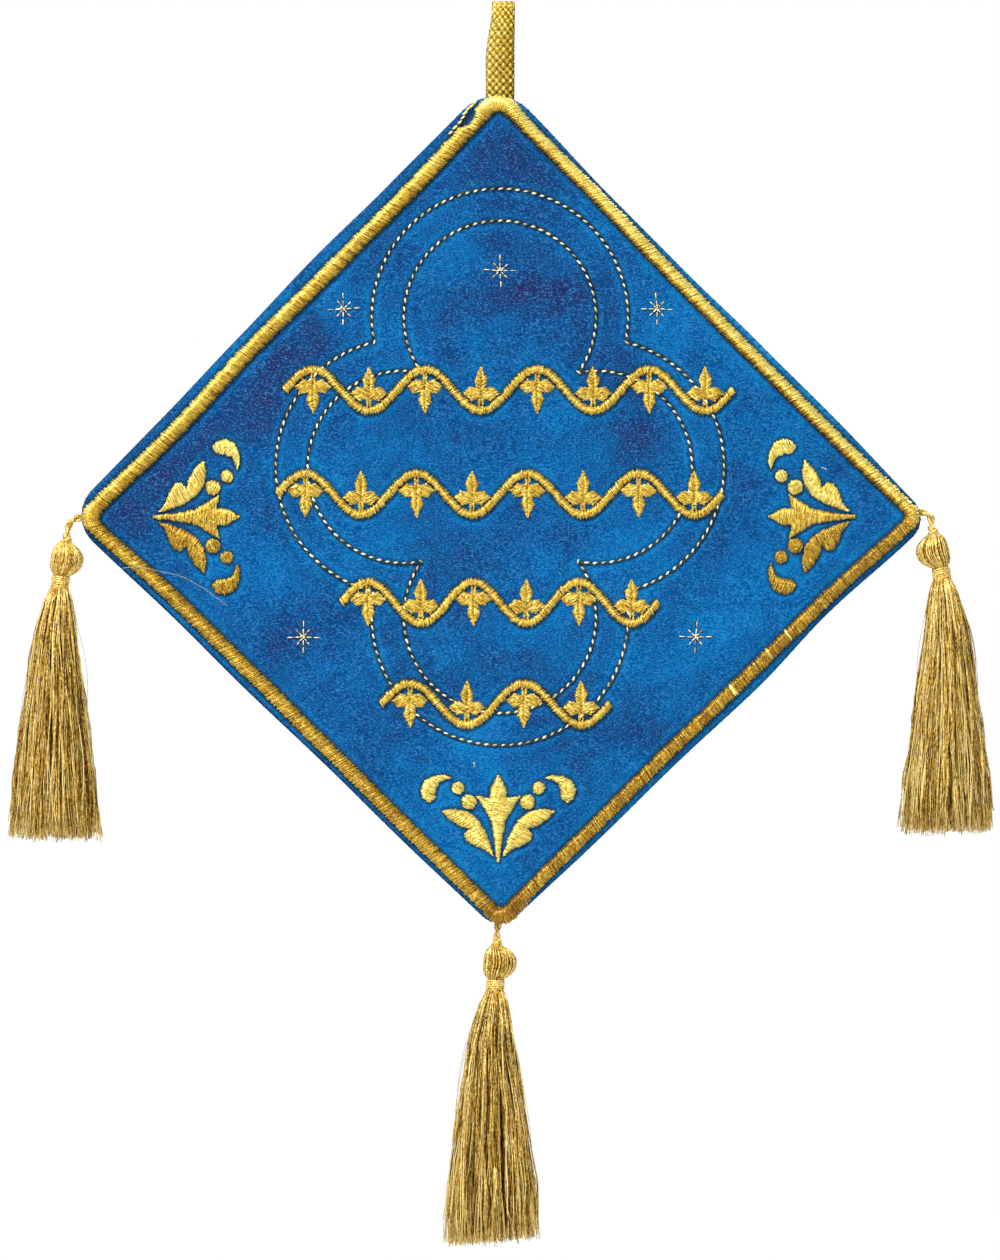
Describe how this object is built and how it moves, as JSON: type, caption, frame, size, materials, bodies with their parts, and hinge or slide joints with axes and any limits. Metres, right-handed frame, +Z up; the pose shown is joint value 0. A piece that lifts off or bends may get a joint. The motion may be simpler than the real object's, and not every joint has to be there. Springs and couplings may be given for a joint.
{
  "type": "church banner",
  "caption": "Small lozenge-shaped blue velvet hanging banner with gold embroidery, a gold border, a tape loop at the top corner and a tassel at each other corner.",
  "frame": {"origin": "the point on the inside of the tape loop's top that rests on a hook", "axes": "+Z up, +X to the right as seen from the front, and the embroidered front faces -Y"},
  "size_m": [0.2463, 0.0257, 0.31],
  "materials": {
    "blue_velvet": "short-pile velvet, mottled where the pile lies differently",
    "gold_satin_thread": "bright metallic gold satin stitch",
    "gold_braid": "flat plaited metallic gold tape",
    "gold_tassel_yarn": "fine old-gold tassel yarn with a soft shine"
  },
  "bodies": {
    "root": {"front_panel": "blue_velvet", "back_panel": "blue_velvet", "satin_border": "gold_satin_thread", "sprig_left_blade": "gold_satin_thread", "sprig_left_leaf_a": "gold_satin_thread", "sprig_left_leaf_b": "gold_satin_thread", "sprig_left_scroll_a": "gold_satin_thread", "sprig_left_scroll_b": "gold_satin_thread", "sprig_left_bead_a1": "gold_satin_thread", "sprig_left_bead_a2": "gold_satin_thread", "sprig_left_bead_b1": "gold_satin_thread", "sprig_left_bead_b2": "gold_satin_thread", "sprig_right_blade": "gold_satin_thread", "sprig_right_leaf_a": "gold_satin_thread", "sprig_right_leaf_b": "gold_satin_thread", "sprig_right_scroll_a": "gold_satin_thread", "sprig_right_scroll_b": "gold_satin_thread", "sprig_right_bead_a1": "gold_satin_thread", "sprig_right_bead_a2": "gold_satin_thread", "sprig_right_bead_b1": "gold_satin_thread", "sprig_right_bead_b2": "gold_satin_thread", "sprig_bottom_blade": "gold_satin_thread", "sprig_bottom_leaf_a": "gold_satin_thread", "sprig_bottom_leaf_b": "gold_satin_thread", "sprig_bottom_scroll_a": "gold_satin_thread", "sprig_bottom_scroll_b": "gold_satin_thread", "sprig_bottom_bead_a1": "gold_satin_thread", "sprig_bottom_bead_a2": "gold_satin_thread", "sprig_bottom_bead_b1": "gold_satin_thread", "sprig_bottom_bead_b2": "gold_satin_thread", "vine_band_1": "gold_satin_thread", "vine_band_2": "gold_satin_thread", "vine_band_3": "gold_satin_thread", "vine_band_4": "gold_satin_thread", "hanging_tape": "gold_braid", "tassel_left": "gold_tassel_yarn", "tassel_right": "gold_tassel_yarn", "tassel_bottom": "gold_tassel_yarn", "tassel_cord_left": "gold_tassel_yarn", "tassel_cord_right": "gold_tassel_yarn", "tassel_cord_bottom": "gold_tassel_yarn", "tassel_binding_left": "gold_tassel_yarn", "tassel_binding_right": "gold_tassel_yarn", "tassel_binding_bottom": "gold_tassel_yarn"}
  },
  "joints": []
}
